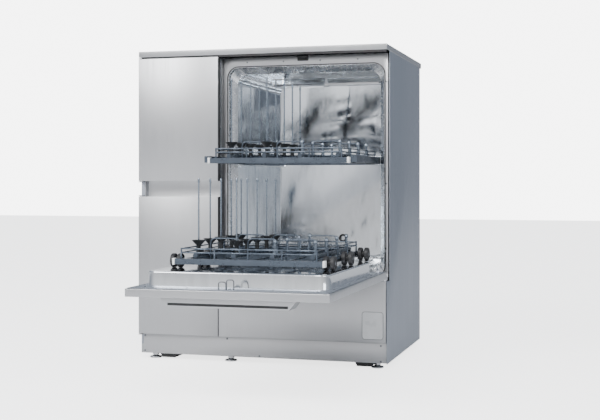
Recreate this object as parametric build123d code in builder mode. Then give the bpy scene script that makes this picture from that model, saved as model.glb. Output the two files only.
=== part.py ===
"""Glass washer machine: a freestanding washer for laboratory glassware.

The machine is a stainless cabinet with a wash chamber on the right and a service column on the
left. It stands with its drop-down door open and both injector racks drawn out.
Millimetres, +Z up. X is the width, Y the depth, and the front faces -Y. The origin is on the
floor, in the middle of the floor area that the machine takes with its door open.
"""
import os

from build123d import *

os.makedirs("parts", exist_ok=True)

# ---------------------------------------------------------------- driving dimensions
WIDTH = 850.0             # over the side panels
HEIGHT = 1031.0           # floor to worktop
BODY_DEPTH = 600.0        # front plane to back panel
WORKTOP_DEPTH = BODY_DEPTH + 28   # the worktop overhangs the back
DOOR_REACH = 720.0        # front plane to the edge of the open door
COLUMN_WIDTH = 286.0      # service column on the left
RACK_LENGTH = 480.0       # both racks, front to back
SHEET = 2.0               # cabinet sheet metal
CLEAR = 1.0               # plain working clearance
PIN_CLEAR = 0.05          # radial clearance of a pin in its bore

WORKTOP_T = 19.0
WORKTOP_GAP = 6.0         # shadow gap under the worktop
FOOT_H = 18.0             # floor to the underside of the cabinet
BEAM = 30.0               # base frame, square section
PLINTH_TOP = 85.0
FASCIA_TOP = 280.0
GROOVE_Z = (545.0, 597.0)  # hand grip between the two column doors
PANEL_T = 18.0            # column doors and fascia
FRAME_SET = 46.0          # chamber front frame behind the front plane

DOOR_T = 22.0
HINGE_Z = 286.5
HINGE_D = -1.5            # depth of the door's hinge line from the front plane
DOOR_GAP = 2.0
LINER_TOP = 351.0
LINER_FRONT = 82.0        # from the door's front edge back to the raised liner
LINER_REAR = 122.0        # from the front plane out to the raised liner
LINER_WIDTH = 516.0
LINER_R = 30.0

CHAMBER_WIDTH = 488.0
CHAMBER_Z = (311.0, 953.0)
CHAMBER_BACK = BODY_DEPTH - 30
CHAMBER_R = 35.0
OPEN_MARGIN = 19.0        # the front opening is this much larger all round
LIP_D = 66.0              # end of the straight lip
THROAT_D = 84.0           # end of the sloped throat

ROLLER_R = 20.0
ROLLER_W = 12.0
ROLLER_GAP = 8.0
ROLLER_AXLE_R = 4.0
ROLLER_IN = 10.0          # outer disc to chamber wall
RACK_TUBE = 16.0
RACK_HALF = 197.0         # rack centre to its side tubes
RACK_CROSS_HALF = 215.0   # half length of the front and rear cross tubes
LOWER_RACK_OUT = 537.0    # rack front in front of the front plane
LOWER_RACK_Z = 363.0
UPPER_RACK_OUT = 259.0
UPPER_RACK_Z = 651.0
WIRE_R = 2.0
PIPE_R = 7.0
TALL_JET_R = 2.25
JET_TOP_LOWER = 601.0
JET_TOP_UPPER = 911.0
CONE_R = 20.5
CONE_FOOT_R = 6.0
CONE_H = 17.0
CONE_STEM = 22.0          # stem under the cone

# ---------------------------------------------------------------- derived places
FRONT = (DOOR_REACH - WORKTOP_DEPTH) / 2
X0, X1 = -WIDTH / 2, WIDTH / 2
TOP_Z = HEIGHT - WORKTOP_T
FLOOR_Z = FOOT_H + BEAM
PANEL_TOP = TOP_Z - WORKTOP_GAP
COL_X = X0 + COLUMN_WIDTH
CX = (COL_X + X1) / 2                      # middle of the chamber and of the door
CHAMBER_X = (CX - CHAMBER_WIDTH / 2, CX + CHAMBER_WIDTH / 2)
CHAMBER_H = CHAMBER_Z[1] - CHAMBER_Z[0]
CHAMBER_CZ = sum(CHAMBER_Z) / 2
OPEN_W = CHAMBER_WIDTH + 2 * OPEN_MARGIN
OPEN_H = CHAMBER_H + 2 * OPEN_MARGIN
OPEN_CZ = CHAMBER_CZ
DOOR_Z0 = HINGE_Z - HINGE_D
DOOR_Z1 = DOOR_Z0 + DOOR_T
TRACK_HALF = CHAMBER_WIDTH / 2 - ROLLER_IN + 6 - ROLLER_W - ROLLER_GAP / 2   # middle of a roller pair


def at(d):
    """Row y of a depth measured back from the front plane."""
    return FRONT + d


def block(x, d, z, mode=Mode.ADD):
    """Adds a box between two x, two depths and two heights."""
    centre = ((x[0] + x[1]) / 2, at((d[0] + d[1]) / 2), (z[0] + z[1]) / 2)
    with Locations(centre):
        Box(x[1] - x[0], d[1] - d[0], z[1] - z[0], mode=mode)


def rod(start, end, radius, mode=Mode.ADD):
    """Adds a round bar between two points given as (x, depth, z)."""
    a, b = (Vector(p[0], at(p[1]), p[2]) for p in (start, end))
    with BuildSketch(Plane(origin=a, z_dir=b - a)) as section:
        Circle(radius)
    extrude(section.sketch, amount=(b - a).length, mode=mode)


def mouth(width, height, radius, centre_z, depth):
    """A rounded rectangle in an upright plane at a depth, looking back."""
    plane = Plane(origin=(CX, at(depth), centre_z), x_dir=(1, 0, 0), z_dir=(0, -1, 0))
    with BuildSketch(plane) as sketch:
        RectangleRounded(width, height, radius)
    return sketch.sketch


def save(builder, name):
    """Labels a finished sub-part and writes its STEP file."""
    builder.part.label = name
    export_step(builder.part, f"parts/{name}.step")


# ---------------------------------------------------------------- cabinet
with BuildPart() as worktop:
    block((X0, X1), (0, WORKTOP_DEPTH), (TOP_Z, HEIGHT))
    fillet(worktop.edges().group_by(Axis.Z)[-1], 2)
    block((X0 + SHEET, X1 - SHEET), (SHEET, WORKTOP_DEPTH - SHEET), (TOP_Z, HEIGHT - SHEET), Mode.SUBTRACT)
save(worktop, "worktop")

SIDE_FLANGE = 14.0
with BuildPart() as side_panel_left:
    block((X0, X0 + SHEET), (PANEL_T + 6, BODY_DEPTH), (FOOT_H, TOP_Z))
    block((X0, X0 + SIDE_FLANGE), (PANEL_T + 6, PANEL_T + 6 + SHEET), (FLOOR_Z, TOP_Z))
save(side_panel_left, "side_panel_left")

with BuildPart() as side_panel_right:
    block((X1 - SHEET, X1), (FRAME_SET, BODY_DEPTH), (FOOT_H, TOP_Z))
    block((X1 - SHEET, X1), (SHEET, FRAME_SET), (FOOT_H, FASCIA_TOP))
save(side_panel_right, "side_panel_right")

BACK_X = (X0 + SHEET, X1 - SHEET)
with BuildPart() as back_panel:
    block(BACK_X, (BODY_DEPTH - SHEET, BODY_DEPTH), (FOOT_H, TOP_Z))
save(back_panel, "back_panel")

with BuildPart() as base_frame:
    block(BACK_X, (20, BODY_DEPTH - SHEET), (FOOT_H, FLOOR_Z))
    for bay_x in ((BACK_X[0] + BEAM, COL_X - BEAM / 2), (COL_X + BEAM / 2, BACK_X[1] - BEAM)):
        block(bay_x, (20 + BEAM, BODY_DEPTH - SHEET - BEAM), (FOOT_H, FLOOR_Z - SHEET), Mode.SUBTRACT)
save(base_frame, "base_frame")

PLINTH_X = (X0 + 12, X1 - SHEET)
PLINTH_D = (16.0, 20.0)
with BuildPart() as plinth_panel:
    block(PLINTH_X, PLINTH_D, (FOOT_H + 1, PLINTH_TOP - 2))
save(plinth_panel, "plinth_panel")

FOOT_X = (X0 + 44, COL_X + 28, X1 - 40)
FOOT_D = (45.0, BODY_DEPTH - 45.0)
FOOT_PAD_R = 20.0
FOOT_NECK_R = 12.0
FOOT_STUD_R = 6.0
FOOT_NUT_R = 11.0
with BuildPart() as levelling_feet:
    for foot_x in FOOT_X:
        for foot_d in FOOT_D:
            rod((foot_x, foot_d, 0), (foot_x, foot_d, 5), FOOT_PAD_R)
            rod((foot_x, foot_d, 5), (foot_x, foot_d, 9), FOOT_NECK_R)
            rod((foot_x, foot_d, 9), (foot_x, foot_d, FOOT_H), FOOT_STUD_R)
            with BuildSketch(Plane.XY.offset(11)) as nut:
                with Locations((foot_x, at(foot_d))):
                    RegularPolygon(FOOT_NUT_R, 6)
            extrude(nut.sketch, amount=5)
save(levelling_feet, "levelling_feet")

CASTOR_X = (X0 + 98, X1 - 80)
CASTOR_D = 72.0
CASTOR_R = 14.0
CASTOR_Z = CASTOR_R + 2.5
CASTOR_W = 22.0
CASTOR_AXLE_R = 3.0
HOUSING_HALF = 30.0
HOUSING_LOW_HALF = 23.0
HOUSING_LOW = 5.0
HOUSING_D = (26.0, 94.0)
with BuildPart() as castor_housings:
    for castor_x in CASTOR_X:
        front_view = Plane(origin=(castor_x, at(HOUSING_D[1]), 0), x_dir=(1, 0, 0), z_dir=(0, -1, 0))
        with BuildSketch(front_view) as skirt:
            with BuildLine():
                Polyline(
                    (-HOUSING_HALF, FOOT_H), (HOUSING_HALF, FOOT_H), (HOUSING_LOW_HALF, HOUSING_LOW),
                    (-HOUSING_LOW_HALF, HOUSING_LOW), close=True,
                )
            make_face()
        extrude(skirt.sketch, amount=HOUSING_D[1] - HOUSING_D[0])
        housing_x = (castor_x - HOUSING_HALF, castor_x + HOUSING_HALF)
        block(housing_x, (52, HOUSING_D[1]), (FOOT_H, FLOOR_Z - SHEET))
        slot_x = (castor_x - CASTOR_W / 2 - 2, castor_x + CASTOR_W / 2 + 2)
        block(slot_x, (CASTOR_D - 17, CASTOR_D + 17), (0, FLOOR_Z - 8), Mode.SUBTRACT)
        rod((castor_x - 20, CASTOR_D, CASTOR_Z), (castor_x + 20, CASTOR_D, CASTOR_Z), CASTOR_AXLE_R)
save(castor_housings, "castor_housings")

for castor_side, castor_x in zip(("left", "right"), CASTOR_X):
    with BuildPart() as castor_wheel:
        left_x, right_x = castor_x - CASTOR_W / 2, castor_x + CASTOR_W / 2
        rod((left_x, CASTOR_D, CASTOR_Z), (right_x, CASTOR_D, CASTOR_Z), CASTOR_R)
        fillet(castor_wheel.edges().filter_by(GeomType.CIRCLE), 2)
        bore_r = CASTOR_AXLE_R + PIN_CLEAR
        rod((left_x - 1, CASTOR_D, CASTOR_Z), (right_x + 1, CASTOR_D, CASTOR_Z), bore_r, Mode.SUBTRACT)
    save(castor_wheel, f"castor_wheel_{castor_side}")

FASCIA_X = (COL_X, X1 - SHEET - 2)
with BuildPart() as lower_fascia:
    block(FASCIA_X, (0, PANEL_T), (PLINTH_TOP, FASCIA_TOP))
    hollow_x = (FASCIA_X[0] + SHEET, FASCIA_X[1] - SHEET)
    block(hollow_x, (SHEET, PANEL_T), (PLINTH_TOP + SHEET, FASCIA_TOP - SHEET), Mode.SUBTRACT)
save(lower_fascia, "lower_fascia")

LABEL_X = (X1 - 81, X1 - 12)
LABEL_Z = (95.0, 183.0)
LABEL_T = 0.8
with BuildPart() as label_plate:
    block(LABEL_X, (-LABEL_T, 0), LABEL_Z)
save(label_plate, "label_plate")

with BuildPart() as centre_partition:
    block((COL_X - SHEET, COL_X), (PANEL_T + 6, BODY_DEPTH - SHEET), (FLOOR_Z, PANEL_TOP))
save(centre_partition, "centre_partition")

GRIP_X = (X0 + SHEET + 12, COL_X - SHEET)
with BuildPart() as grip_channel:
    block(GRIP_X, (PANEL_T + 4, PANEL_T + 32), (GROOVE_Z[0] - 8, GROOVE_Z[1] + 8))
    hollow_x = (GRIP_X[0] + SHEET, GRIP_X[1] - SHEET)
    block(hollow_x, (PANEL_T, PANEL_T + 30), (GROOVE_Z[0] - 6, GROOVE_Z[1] + 6), Mode.SUBTRACT)
save(grip_channel, "grip_channel")

# ---------------------------------------------------------------- column doors
DOOR_PIN_R = 3.0
DOOR_PIN_IN = 5.0         # pin from the door's outer faces
PIN_X, PIN_D = X0 + DOOR_PIN_IN, DOOR_PIN_IN
PIN_DEEP = 10.0
BOSS = 14.0
COLUMN_DOORS = {
    "upper_column_door": (GROOVE_Z[1], PANEL_TOP),
    "lower_column_door": (PLINTH_TOP, GROOVE_Z[0]),
}
for door_name, door_z in COLUMN_DOORS.items():
    with BuildPart() as column_door:
        block((X0, COL_X - 3), (0, PANEL_T), door_z)
        hollow_z = (door_z[0] + SHEET, door_z[1] - SHEET)
        block((X0 + SHEET, COL_X - 3 - SHEET), (SHEET, PANEL_T), hollow_z, Mode.SUBTRACT)
        for boss_z in ((door_z[0], door_z[0] + BOSS), (door_z[1] - BOSS, door_z[1])):
            block((X0, X0 + BOSS), (0, PANEL_T), boss_z)
        for pin_z in ((door_z[0] - 1, door_z[0] + PIN_DEEP + 1), (door_z[1] - PIN_DEEP - 1, door_z[1] + 1)):
            rod((PIN_X, PIN_D, pin_z[0]), (PIN_X, PIN_D, pin_z[1]), DOOR_PIN_R + PIN_CLEAR, Mode.SUBTRACT)
    save(column_door, door_name)

with BuildPart() as column_door_pins:
    for door_z in COLUMN_DOORS.values():
        for edge, side in ((door_z[0], -1), (door_z[1], 1)):
            ear = sorted((edge + side * 1.5, edge + side * 4.5))
            block((X0, X0 + 12), (0, PANEL_T + 6), ear)
            stem = sorted((edge + side * 2, edge - side * PIN_DEEP))
            rod((PIN_X, PIN_D, stem[0]), (PIN_X, PIN_D, stem[1]), DOOR_PIN_R)
save(column_door_pins, "column_door_pins")

# ---------------------------------------------------------------- wash chamber
SUMP_D = CHAMBER_BACK / 2 + 40
SUMP_R = 70.0
with BuildPart() as chamber_shell:
    outside = mouth(
        CHAMBER_WIDTH + 2 * SHEET, CHAMBER_H + 2 * SHEET, CHAMBER_R + SHEET, CHAMBER_CZ, CHAMBER_BACK + SHEET
    )
    extrude(outside, amount=CHAMBER_BACK + SHEET - THROAT_D)
    inside = mouth(CHAMBER_WIDTH, CHAMBER_H, CHAMBER_R, CHAMBER_CZ, CHAMBER_BACK)
    extrude(inside, amount=CHAMBER_BACK - THROAT_D, mode=Mode.SUBTRACT)
    rod((CX, SUMP_D, CHAMBER_Z[0] - 10), (CX, SUMP_D, CHAMBER_Z[0] + 10), SUMP_R, Mode.SUBTRACT)
save(chamber_shell, "chamber_shell")

FRAME_X = (COL_X, X1 - SHEET - 4)
with BuildPart() as chamber_front_frame:
    block(FRAME_X, (FRAME_SET, FRAME_SET + SHEET), (FASCIA_TOP + 1, PANEL_TOP))
    lip_outside = mouth(OPEN_W + 2 * SHEET, OPEN_H + 2 * SHEET, CHAMBER_R + SHEET, OPEN_CZ, LIP_D)
    extrude(lip_outside, amount=LIP_D - FRAME_SET)
    throat_outside = mouth(
        CHAMBER_WIDTH + 2 * SHEET, CHAMBER_H + 2 * SHEET, CHAMBER_R + SHEET, CHAMBER_CZ, THROAT_D
    )
    loft((lip_outside, throat_outside))
    lip_inside = mouth(OPEN_W, OPEN_H, CHAMBER_R, OPEN_CZ, LIP_D)
    extrude(lip_inside, amount=LIP_D - FRAME_SET + 1, mode=Mode.SUBTRACT)
    throat_inside = mouth(CHAMBER_WIDTH, CHAMBER_H, CHAMBER_R, CHAMBER_CZ, THROAT_D)
    loft((lip_inside, throat_inside), mode=Mode.SUBTRACT)
save(chamber_front_frame, "chamber_front_frame")

GASKET_W = 5.0
GASKET_T = 3.0
with BuildPart() as door_gasket:
    rim = mouth(OPEN_W + 2 * GASKET_W, OPEN_H + 2 * GASKET_W, CHAMBER_R + GASKET_W, OPEN_CZ, FRAME_SET)
    extrude(rim, amount=GASKET_T)
    bore = mouth(OPEN_W + 3, OPEN_H + 3, CHAMBER_R + 1.5, OPEN_CZ, FRAME_SET)
    extrude(bore, amount=GASKET_T, mode=Mode.SUBTRACT)
save(door_gasket, "door_gasket")

LOCK_X = CX - 6
with BuildPart() as door_lock:
    block((LOCK_X - 18, LOCK_X + 18), (FRAME_SET - 5, FRAME_SET), (PANEL_TOP - 17, PANEL_TOP))
    mouth_z = (PANEL_TOP - 12, PANEL_TOP - 5)
    block((LOCK_X - 13, LOCK_X + 13), (FRAME_SET - 6, FRAME_SET - 2), mouth_z, Mode.SUBTRACT)
save(door_lock, "door_lock")

TRACK_Z = LINER_TOP
TRACK_W = 2 * ROLLER_W + ROLLER_GAP + 4
UPPER_RAIL_Z = (UPPER_RACK_Z - 2, UPPER_RACK_Z + 26)
RUNNER_W = 18.0
RUNNER_Z = (UPPER_RAIL_Z[0] + 3 + CLEAR, UPPER_RAIL_Z[1] - 3 - CLEAR)
RAIL_D = (THROAT_D + 2, CHAMBER_BACK - 10)
with BuildPart() as chamber_rails:
    for side in (-1, 1):
        wall = CX + side * CHAMBER_WIDTH / 2
        track = sorted((CX + side * (TRACK_HALF - TRACK_W / 2), wall))
        block(track, RAIL_D, (TRACK_Z - 4, TRACK_Z))
        block(sorted((wall, wall - side * SHEET)), RAIL_D, UPPER_RAIL_Z)
        for flange_z in ((UPPER_RAIL_Z[0], UPPER_RAIL_Z[0] + 3), (UPPER_RAIL_Z[1] - 3, UPPER_RAIL_Z[1])):
            block(sorted((wall, wall - side * (RUNNER_W + 3))), RAIL_D, flange_z)
save(chamber_rails, "chamber_rails")

with BuildPart() as sump:
    rod((CX, SUMP_D, CHAMBER_Z[0] - 62), (CX, SUMP_D, CHAMBER_Z[0] - SHEET), SUMP_R + 8)
    rod((CX, SUMP_D, CHAMBER_Z[0] - 58), (CX, SUMP_D, CHAMBER_Z[0]), SUMP_R, Mode.SUBTRACT)
save(sump, "sump")

with BuildPart() as sump_filter:
    rod((CX, SUMP_D, CHAMBER_Z[0] - 50), (CX, SUMP_D, CHAMBER_Z[0] - 2), SUMP_R - 4)
    rod((CX, SUMP_D, CHAMBER_Z[0] - 47), (CX, SUMP_D, CHAMBER_Z[0]), SUMP_R - 7, Mode.SUBTRACT)
    rod((CX, SUMP_D, CHAMBER_Z[0] - 4), (CX, SUMP_D, CHAMBER_Z[0] - 2), SUMP_R - 5)
save(sump_filter, "sump_filter")

# ---------------------------------------------------------------- spray arms and docking ports
ARM_LENGTH = 400.0
ARM_HUB_R = 15.0
ARM_SHAFT_R = 6.0
ARM_BOTTOM_Z = 333.0
ARM_TOP_Z = 931.0
for arm_name, arm_z in (("bottom_spray_arm", ARM_BOTTOM_Z), ("top_spray_arm", ARM_TOP_Z)):
    with BuildPart() as spray_arm:
        with BuildSketch(Plane.XY.offset(arm_z)):
            with Locations((CX, at(SUMP_D))):
                SlotOverall(ARM_LENGTH, 26)
        extrude(amount=8)
        rod((CX, SUMP_D, arm_z - 1), (CX, SUMP_D, arm_z + 9), ARM_HUB_R)
        rod((CX, SUMP_D, arm_z - 2), (CX, SUMP_D, arm_z + 10), ARM_SHAFT_R + PIN_CLEAR, Mode.SUBTRACT)
        for jet in range(-4, 5):
            if jet:
                jet_x = CX + jet * 42
                rod((jet_x, SUMP_D, arm_z + 4), (jet_x, SUMP_D, arm_z + 9), 2, Mode.SUBTRACT)
    save(spray_arm, arm_name)

with BuildPart() as spray_arm_shafts:
    rod((CX, SUMP_D, CHAMBER_Z[0] - 2), (CX, SUMP_D, ARM_BOTTOM_Z + 9.5), ARM_SHAFT_R)
    rod((CX, SUMP_D, ARM_BOTTOM_Z + 9.5), (CX, SUMP_D, ARM_BOTTOM_Z + 12), 10)
    rod((CX, SUMP_D, ARM_TOP_Z - 1.5), (CX, SUMP_D, CHAMBER_Z[1]), ARM_SHAFT_R)
    rod((CX, SUMP_D, ARM_TOP_Z - 4), (CX, SUMP_D, ARM_TOP_Z - 1.5), 10)
save(spray_arm_shafts, "spray_arm_shafts")

DOCK_R = PIPE_R + CLEAR
with BuildPart() as docking_ports:
    for rack_z in (LOWER_RACK_Z, UPPER_RACK_Z):
        pipe_z = rack_z + RACK_TUBE + PIPE_R
        rod((CX, CHAMBER_BACK - 8, pipe_z), (CX, CHAMBER_BACK, pipe_z), DOCK_R + 7)
        rod((CX, CHAMBER_BACK - 9, pipe_z), (CX, CHAMBER_BACK, pipe_z), DOCK_R, Mode.SUBTRACT)
save(docking_ports, "docking_ports")

# ---------------------------------------------------------------- machinery
PUMP_X = CX + 60
PUMP_Z = 111.0
PUMP_R = 58.0
MOTOR_R = 45.0
with BuildPart() as wash_pump:
    rod((PUMP_X, 300, PUMP_Z), (PUMP_X, 350, PUMP_Z), PUMP_R)
    rod((PUMP_X, 350, PUMP_Z), (PUMP_X, 480, PUMP_Z), MOTOR_R)
    rod((PUMP_X, 325, PUMP_Z), (PUMP_X, 325, CHAMBER_Z[0] - 120), 20)
save(wash_pump, "wash_pump")

DRAIN_X = CX - 120
DRAIN_R = 30.0
DRAIN_Z = FLOOR_Z + DRAIN_R + 2
with BuildPart() as drain_pump:
    rod((DRAIN_X, 330, DRAIN_Z), (DRAIN_X, 360, DRAIN_Z), DRAIN_R)
    rod((DRAIN_X, 360, DRAIN_Z), (DRAIN_X, 430, DRAIN_Z), DRAIN_R - 6)
save(drain_pump, "drain_pump")

HEATER_D = 200.0
HEATER_Z = 211.0
HEATER_R = 22.0
with BuildPart() as heater:
    rod((CX - 200, HEATER_D, HEATER_Z), (CX + 20, HEATER_D, HEATER_Z), HEATER_R)
    rod((CX - 216, HEATER_D, HEATER_Z), (CX - 200, HEATER_D, HEATER_Z), HEATER_R + 8)
save(heater, "heater")

DOSING_Z = 161.0
DOSING_PITCH = 110.0
DOSING_BOX = 70.0
with BuildPart() as dosing_pumps:
    for pump in range(3):
        pump_z = DOSING_Z + pump * DOSING_PITCH
        head_z = pump_z + DOSING_BOX / 2
        block((COL_X - DOSING_BOX, COL_X - SHEET), (180, 180 + DOSING_BOX), (pump_z, pump_z + DOSING_BOX))
        rod((COL_X - DOSING_BOX, 215, head_z), (COL_X - DOSING_BOX - 26, 215, head_z), 28)
save(dosing_pumps, "dosing_pumps")

BLOWER_X = X0 + 120
BLOWER_Z = 681.0
BLOWER_R = 80.0
with BuildPart() as drying_blower:
    rod((BLOWER_X, 300, BLOWER_Z), (BLOWER_X, 380, BLOWER_Z), BLOWER_R)
    block((BLOWER_X + 10, BLOWER_X + BLOWER_R), (310, 370), (BLOWER_Z, BLOWER_Z + 120))
    block((BLOWER_X - 60, BLOWER_X + 110), (380, 520), (BLOWER_Z - 70, BLOWER_Z + 70))
save(drying_blower, "drying_blower")

CONTROL_Z = (781.0, 981.0)
with BuildPart() as control_box:
    block((X0 + 30, COL_X - 20), (80, 160), CONTROL_Z)
save(control_box, "control_box")

INLET_Z = 481.0
INLET_X = [X0 + 70 + valve * 70 for valve in range(3)]
VALVE_HALF = 22.0
with BuildPart() as water_valves:
    for valve_x in INLET_X:
        valve_box = (valve_x - VALVE_HALF, valve_x + VALVE_HALF)
        block(valve_box, (BODY_DEPTH - 80, BODY_DEPTH - 20), (INLET_Z - 20, INLET_Z + 40))
        rod((valve_x, BODY_DEPTH - 20, INLET_Z), (valve_x, BODY_DEPTH - SHEET, INLET_Z), 9)
        rod((valve_x, BODY_DEPTH - 50, INLET_Z + 40), (valve_x, BODY_DEPTH - 50, INLET_Z + 75), 16)
save(water_valves, "water_valves")

CONNECTOR_L = 24.0
CONNECTOR_FOOT = 3.0
INLET_R = 13.2            # 3/4 inch connector
OUTLET_R = 16.0
OUTLET_Z = 121.0
CONNECTORS = [(inlet_x, INLET_Z, INLET_R) for inlet_x in INLET_X] + [(DRAIN_X, OUTLET_Z, OUTLET_R)]
FOOT_END = BODY_DEPTH + CONNECTOR_FOOT
with BuildPart() as rear_connectors:
    for pipe_x, pipe_z, pipe_r in CONNECTORS:
        rod((pipe_x, BODY_DEPTH, pipe_z), (pipe_x, FOOT_END, pipe_z), pipe_r + 6)
        rod((pipe_x, FOOT_END, pipe_z), (pipe_x, FOOT_END + CONNECTOR_L, pipe_z), pipe_r)
        bore_end = FOOT_END + CONNECTOR_L + 1
        rod((pipe_x, BODY_DEPTH - 1, pipe_z), (pipe_x, bore_end, pipe_z), pipe_r - 4, Mode.SUBTRACT)
save(rear_connectors, "rear_connectors")

# ---------------------------------------------------------------- screws of the cabinet
SCREW_R = 3.2
SCREW_H = 1.6
PLINTH_SCREWS = (
    (X0 + 17, 77), (X0 + 17, 27), (COL_X + 24, 77), (COL_X + 136, 24), (X1 - 23, 74), (X1 - 23, 24)
)
FRAME_SCREWS = [(CX - 198 + screw * 125, PANEL_TOP - 17) for screw in range(4)]
FRAME_SCREWS += [(X1 - 11, 915), (X1 - 11, 589)]
with BuildPart() as cabinet_screws:
    for screw_x, screw_z in PLINTH_SCREWS:
        rod((screw_x, PLINTH_D[0] - SCREW_H, screw_z), (screw_x, PLINTH_D[0], screw_z), SCREW_R)
    for screw_x, screw_z in FRAME_SCREWS:
        rod((screw_x, FRAME_SET - SCREW_H, screw_z), (screw_x, FRAME_SET, screw_z), SCREW_R - 0.6)
save(cabinet_screws, "cabinet_screws")

# ---------------------------------------------------------------- door
DOOR_X = (COL_X, X1)
DOOR_FRONT = -DOOR_REACH
DOOR_REAR = -DOOR_GAP
HINGE_PIN_R = 4.0
EAR_W = 10.0
EAR_IN = 16.0             # hinge ear from the door's side edge
EARS = [(x - EAR_W / 2, x + EAR_W / 2) for x in (DOOR_X[0] + EAR_IN, DOOR_X[1] - EAR_IN)]
with BuildPart() as door_outer_panel:
    block(DOOR_X, (DOOR_FRONT, DOOR_REAR), (DOOR_Z0, DOOR_Z1))
    fillet(door_outer_panel.edges().filter_by(Axis.X).sort_by(Axis.Y)[0:2], 2)
    hollow_d = (DOOR_FRONT + SHEET, DOOR_REAR - SHEET)
    block((DOOR_X[0] + SHEET, DOOR_X[1] - SHEET), hollow_d, (DOOR_Z0 + SHEET, DOOR_Z1), Mode.SUBTRACT)
    for ear in EARS:
        block((ear[0] - 8, ear[1] + 8), (DOOR_REAR - 20, DOOR_REAR), (DOOR_Z0, DOOR_Z1), Mode.SUBTRACT)
save(door_outer_panel, "door_outer_panel")

LINER_D = (-DOOR_REACH + LINER_FRONT, -LINER_REAR)
LINER_PLATE_X = (DOOR_X[0] + 4, DOOR_X[1] - 4)
LINER_PLATE_D = (DOOR_FRONT + 5, DOOR_REAR - 24)
with BuildPart() as door_inner_liner:
    block(LINER_PLATE_X, LINER_PLATE_D, (DOOR_Z1, DOOR_Z1 + SHEET))
    with BuildSketch(Plane.XY.offset(DOOR_Z1)):
        with Locations((CX, at(sum(LINER_D) / 2))):
            RectangleRounded(LINER_WIDTH, LINER_D[1] - LINER_D[0], LINER_R)
    extrude(amount=LINER_TOP - DOOR_Z1)
    fillet(door_inner_liner.edges().group_by(Axis.Z)[-1], 4)
    with BuildSketch(Plane.XY.offset(DOOR_Z1)):
        with Locations((CX, at(sum(LINER_D) / 2))):
            RectangleRounded(LINER_WIDTH - 2 * SHEET, LINER_D[1] - LINER_D[0] - 2 * SHEET, LINER_R - SHEET)
    extrude(amount=LINER_TOP - SHEET - DOOR_Z1, mode=Mode.SUBTRACT)
    for side in (-1, 1):
        track_x = CX + side * TRACK_HALF
        block((track_x - TRACK_W / 2, track_x + TRACK_W / 2), (-LINER_REAR - 1, -16), (TRACK_Z - 5, TRACK_Z))
        block((track_x - 2, track_x + 2), (-LINER_REAR - 1, -30), (DOOR_Z1, TRACK_Z - 4))
save(door_inner_liner, "door_inner_liner")

with BuildPart() as door_hinge_arms:
    for ear in EARS:
        with BuildSketch(Plane(origin=(ear[0], FRONT, 0), x_dir=(0, 1, 0), z_dir=(1, 0, 0))):
            with BuildLine():
                Polyline(
                    (-60, DOOR_Z1 + SHEET), (-60, DOOR_Z1 + 24), (-34, DOOR_Z1 + 24), (-10, DOOR_Z1 + 6),
                    (HINGE_D + 6, HINGE_Z + 8), (HINGE_D + 6, HINGE_Z - 2), (HINGE_D + 2, HINGE_Z - 6),
                    (HINGE_D - 8, HINGE_Z - 6), (-20, DOOR_Z0 + 4), (-20, DOOR_Z1 + SHEET), close=True,
                )
            make_face()
        extrude(amount=EAR_W)
        bore_r = HINGE_PIN_R + PIN_CLEAR
        rod((ear[0] - 1, HINGE_D, HINGE_Z), (ear[1] + 1, HINGE_D, HINGE_Z), bore_r, Mode.SUBTRACT)
save(door_hinge_arms, "door_hinge_arms")

with BuildPart() as door_hinge_pins:
    for ear in EARS:
        rod((ear[0] - 7, HINGE_D, HINGE_Z), (ear[1] + 7, HINGE_D, HINGE_Z), HINGE_PIN_R)
        for cheek in ((ear[0] - 7, ear[0] - 2), (ear[1] + 2, ear[1] + 7)):
            block(cheek, (HINGE_D - 5, FRAME_SET), (FASCIA_TOP + 1, HINGE_Z + 5))
save(door_hinge_pins, "door_hinge_pins")

HANDLE_X = (CX - 168, CX + 168)
HANDLE_D = (DOOR_FRONT + 18, DOOR_FRONT + 84)
HANDLE_H = 26.0
HANDLE_CAP = 22.0
with BuildPart() as door_handle:
    with BuildSketch(Plane(origin=(HANDLE_X[0], FRONT, DOOR_Z0), x_dir=(0, 1, 0), z_dir=(1, 0, 0))):
        with BuildLine():
            Polyline(
                (HANDLE_D[0], 0), (HANDLE_D[0], -HANDLE_H + 4), (HANDLE_D[0] + 4, -HANDLE_H),
                (HANDLE_D[1], -HANDLE_H), (HANDLE_D[1], -HANDLE_H + 4),
                (HANDLE_D[0] + 12, -HANDLE_H + 4), (HANDLE_D[0] + 12, 0), close=True,
            )
        make_face()
    extrude(amount=HANDLE_X[1] - HANDLE_X[0])
    for side, cap_x in ((-1, HANDLE_X[0]), (1, HANDLE_X[1])):
        with BuildSketch(Plane(origin=(0, at(HANDLE_D[0]), DOOR_Z0), x_dir=(1, 0, 0), z_dir=(0, -1, 0))):
            with BuildLine():
                Polyline((cap_x, 0), (cap_x + side * HANDLE_CAP, 0), (cap_x, -HANDLE_H), close=True)
            make_face()
        extrude(amount=HANDLE_D[0] - HANDLE_D[1])
save(door_handle, "door_handle")

STRIKER_R = 1.5
with BuildPart() as door_strikers:
    for striker_x, tall in ((LOCK_X - 8, 20), (LOCK_X + 14, 26)):
        foot = DOOR_Z1 + SHEET
        striker_y = at(DOOR_FRONT + 22)
        with BuildLine():
            loop = FilletPolyline(
                (striker_x - 10, striker_y, foot), (striker_x - 10, striker_y, foot + tall),
                (striker_x + 10, striker_y, foot + tall), (striker_x + 10, striker_y, foot), radius=6,
            )
        with BuildSketch(Plane(origin=loop @ 0, z_dir=loop % 0)):
            Circle(STRIKER_R)
        sweep(path=loop)
save(door_strikers, "door_strikers")

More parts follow.
